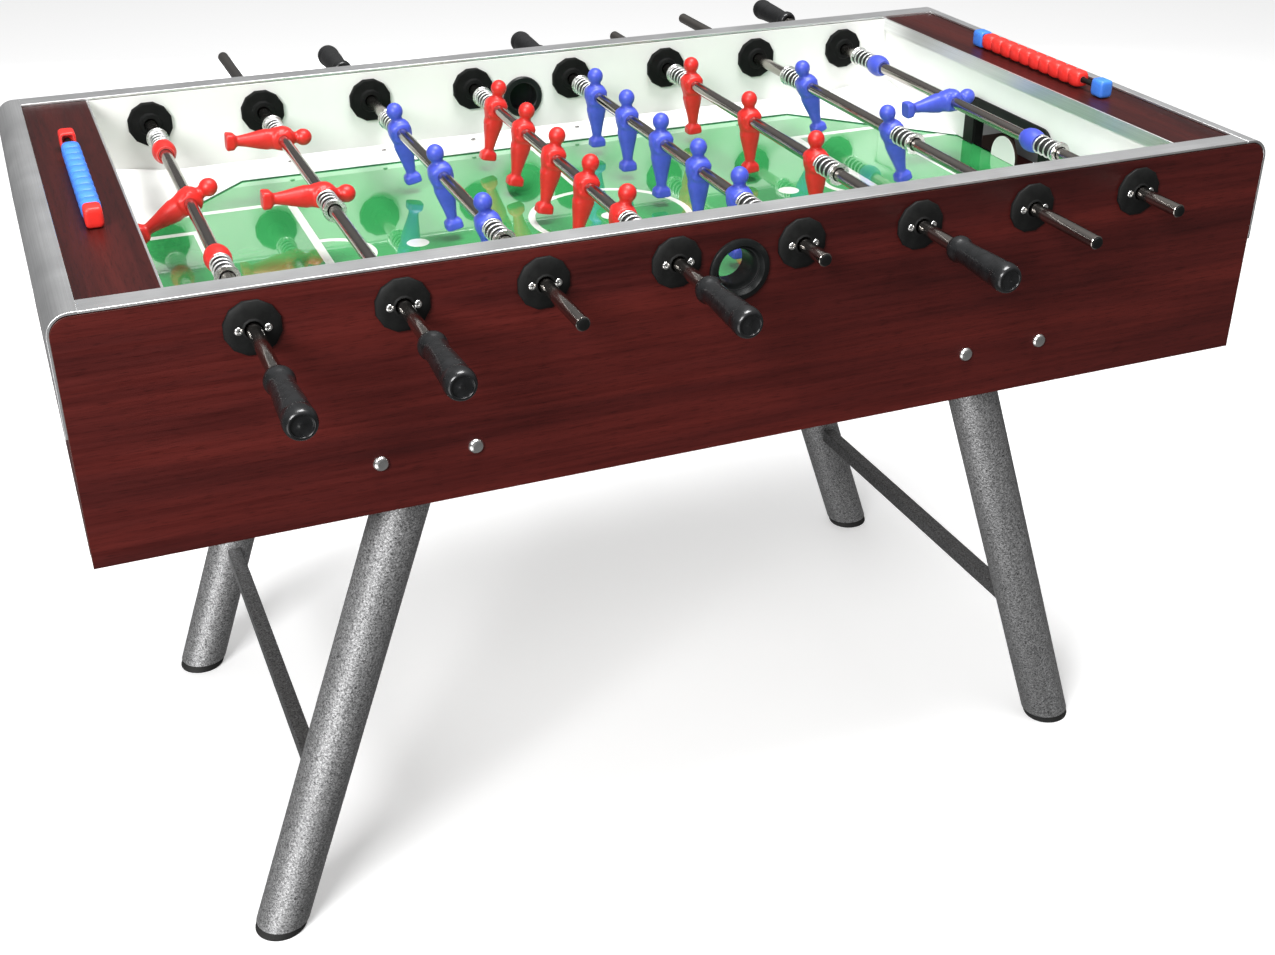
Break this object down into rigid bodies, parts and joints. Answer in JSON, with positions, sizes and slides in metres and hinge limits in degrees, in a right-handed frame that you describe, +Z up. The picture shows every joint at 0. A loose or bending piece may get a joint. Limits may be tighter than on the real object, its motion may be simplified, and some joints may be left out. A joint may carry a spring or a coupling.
{
  "type": "foosball table",
  "caption": "Foosball table: dark laminate cabinet on splayed tube legs, with chrome rods of red and blue figures, a green field, goals, ball cups and bead counters.",
  "frame": {"origin": "on the floor, under the middle of the whole footprint, rods and handles included; the cabinet's own middle is 29.5 mm towards -Y", "axes": "+X along the cabinet's length, +Y from the front side to the back side, +Z up"},
  "size_m": [1.4266, 1.263, 0.901],
  "materials": {
    "mahogany_laminate": "satin wood-print laminate with fine streaks along the length",
    "white_laminate": "satin white laminate",
    "aluminium_trim": "satin, finely brushed along its length",
    "black_plastic": "moulded black plastic, satin",
    "grip_plastic": "glossy black grip",
    "glossy_green_field": "glossy clear sheet over a printed green field with white lines",
    "chrome_rod": "polished chrome tube",
    "spring_steel": "bright zinc-plated spring wire",
    "red_plastic": "matte moulded red plastic",
    "blue_plastic": "matte moulded blue plastic",
    "hammertone_paint": "silver and dark grey hammered paint",
    "foot_rubber": "matte black rubber",
    "zinc_screw": "zinc-plated screw heads"
  },
  "bodies": {
    "cabinet": {"front_side_panel": "mahogany_laminate", "back_side_panel": "mahogany_laminate", "left_end_panel": "mahogany_laminate", "right_end_panel": "mahogany_laminate", "top_rim": "aluminium_trim", "playfield": "glossy_green_field", "field_surround": "white_laminate", "left_goal": "black_plastic", "right_goal": "black_plastic", "left_deck": "mahogany_laminate", "right_deck": "mahogany_laminate", "front_ball_cup": "black_plastic", "back_ball_cup": "black_plastic", "rod_1_front_bearing": "black_plastic", "rod_1_back_bearing": "black_plastic", "rod_2_front_bearing": "black_plastic", "rod_2_back_bearing": "black_plastic", "rod_3_front_bearing": "black_plastic", "rod_3_back_bearing": "black_plastic", "rod_4_front_bearing": "black_plastic", "rod_4_back_bearing": "black_plastic", "rod_5_front_bearing": "black_plastic", "rod_5_back_bearing": "black_plastic", "rod_6_front_bearing": "black_plastic", "rod_6_back_bearing": "black_plastic", "rod_7_front_bearing": "black_plastic", "rod_7_back_bearing": "black_plastic", "rod_8_front_bearing": "black_plastic", "rod_8_back_bearing": "black_plastic", "front_left_leg": "hammertone_paint", "front_right_leg": "hammertone_paint", "back_left_leg": "hammertone_paint", "back_right_leg": "hammertone_paint", "left_crossbar": "hammertone_paint", "right_crossbar": "hammertone_paint"},
    "rod_1_slider": {"rod_1_front_spring": "spring_steel"},
    "rod_1": {"rod_1_goalkeeper": "red_plastic", "rod_1_handle": "grip_plastic"},
    "rod_2_slider": {"rod_2_front_spring": "spring_steel"},
    "rod_2": {"rod_2_defence": "red_plastic", "rod_2_handle": "grip_plastic"},
    "rod_3_slider": {"rod_3_front_spring": "spring_steel"},
    "rod_3": {"rod_3_attack": "blue_plastic", "rod_3_handle": "grip_plastic"},
    "rod_4_slider": {"rod_4_front_spring": "spring_steel"},
    "rod_4": {"rod_4_midfield": "red_plastic", "rod_4_handle": "grip_plastic"},
    "rod_5_slider": {"rod_5_front_spring": "spring_steel"},
    "rod_5": {"rod_5_midfield": "blue_plastic", "rod_5_handle": "grip_plastic"},
    "rod_6_slider": {"rod_6_front_spring": "spring_steel"},
    "rod_6": {"rod_6_attack": "red_plastic", "rod_6_handle": "grip_plastic"},
    "rod_7_slider": {"rod_7_front_spring": "spring_steel"},
    "rod_7": {"rod_7_defence": "blue_plastic"},
    "rod_8_slider": {"rod_8_front_spring": "spring_steel"},
    "rod_8": {"rod_8_goalkeeper": "blue_plastic", "rod_8_handle": "grip_plastic"},
    "left_counter": {"left_score_beads": "blue_plastic"},
    "right_counter": {"right_score_beads": "red_plastic"}
  },
  "joints": [
    {"name": "rod_1_slide", "type": "slide", "parent": "cabinet", "child": "rod_1_slider", "axis": [0, 1, 0], "range_m": [-0.0925, 0.0605]},
    {"name": "rod_1_spin", "type": "hinge", "parent": "rod_1_slider", "child": "rod_1", "pos_m": [-0.52395, 0, 0.838], "axis": [0, 1, 0], "continuous": true},
    {"name": "rod_2_slide", "type": "slide", "parent": "cabinet", "child": "rod_2_slider", "axis": [0, 1, 0], "range_m": [-0.251, 0.061]},
    {"name": "rod_2_spin", "type": "hinge", "parent": "rod_2_slider", "child": "rod_2", "pos_m": [-0.37425, 0, 0.838], "axis": [0, 1, 0], "continuous": true},
    {"name": "rod_3_slide", "type": "slide", "parent": "cabinet", "child": "rod_3_slider", "axis": [0, 1, 0], "range_m": [-0.083, 0.089]},
    {"name": "rod_3_spin", "type": "hinge", "parent": "rod_3_slider", "child": "rod_3", "pos_m": [-0.22455, 0, 0.838], "axis": [0, 1, 0], "continuous": true},
    {"name": "rod_4_slide", "type": "slide", "parent": "cabinet", "child": "rod_4_slider", "axis": [0, 1, 0], "range_m": [-0.0495, 0.0355]},
    {"name": "rod_4_spin", "type": "hinge", "parent": "rod_4_slider", "child": "rod_4", "pos_m": [-0.07485, 0, 0.838], "axis": [0, 1, 0], "continuous": true},
    {"name": "rod_5_slide", "type": "slide", "parent": "cabinet", "child": "rod_5_slider", "axis": [0, 1, 0], "range_m": [-0.0545, 0.0305]},
    {"name": "rod_5_spin", "type": "hinge", "parent": "rod_5_slider", "child": "rod_5", "pos_m": [0.07485, 0, 0.838], "axis": [0, 1, 0], "continuous": true},
    {"name": "rod_6_slide", "type": "slide", "parent": "cabinet", "child": "rod_6_slider", "axis": [0, 1, 0], "range_m": [-0.145, 0.027]},
    {"name": "rod_6_spin", "type": "hinge", "parent": "rod_6_slider", "child": "rod_6", "pos_m": [0.22455, 0, 0.838], "axis": [0, 1, 0], "continuous": true},
    {"name": "rod_7_slide", "type": "slide", "parent": "cabinet", "child": "rod_7_slider", "axis": [0, 1, 0], "range_m": [-0.214, 0.098]},
    {"name": "rod_7_spin", "type": "hinge", "parent": "rod_7_slider", "child": "rod_7", "pos_m": [0.37425, 0, 0.838], "axis": [0, 1, 0], "continuous": true},
    {"name": "rod_8_slide", "type": "slide", "parent": "cabinet", "child": "rod_8_slider", "axis": [0, 1, 0], "range_m": [-0.1115, 0.0415]},
    {"name": "rod_8_spin", "type": "hinge", "parent": "rod_8_slider", "child": "rod_8", "pos_m": [0.52395, 0, 0.838], "axis": [0, 1, 0], "continuous": true},
    {"name": "left_counter_slide", "type": "slide", "parent": "cabinet", "child": "left_counter", "axis": [0, 1, 0], "range_m": [-0.0002, 0.028]},
    {"name": "right_counter_slide", "type": "slide", "parent": "cabinet", "child": "right_counter", "axis": [0, 1, 0], "range_m": [-0.028, 0.0002]}
  ]
}
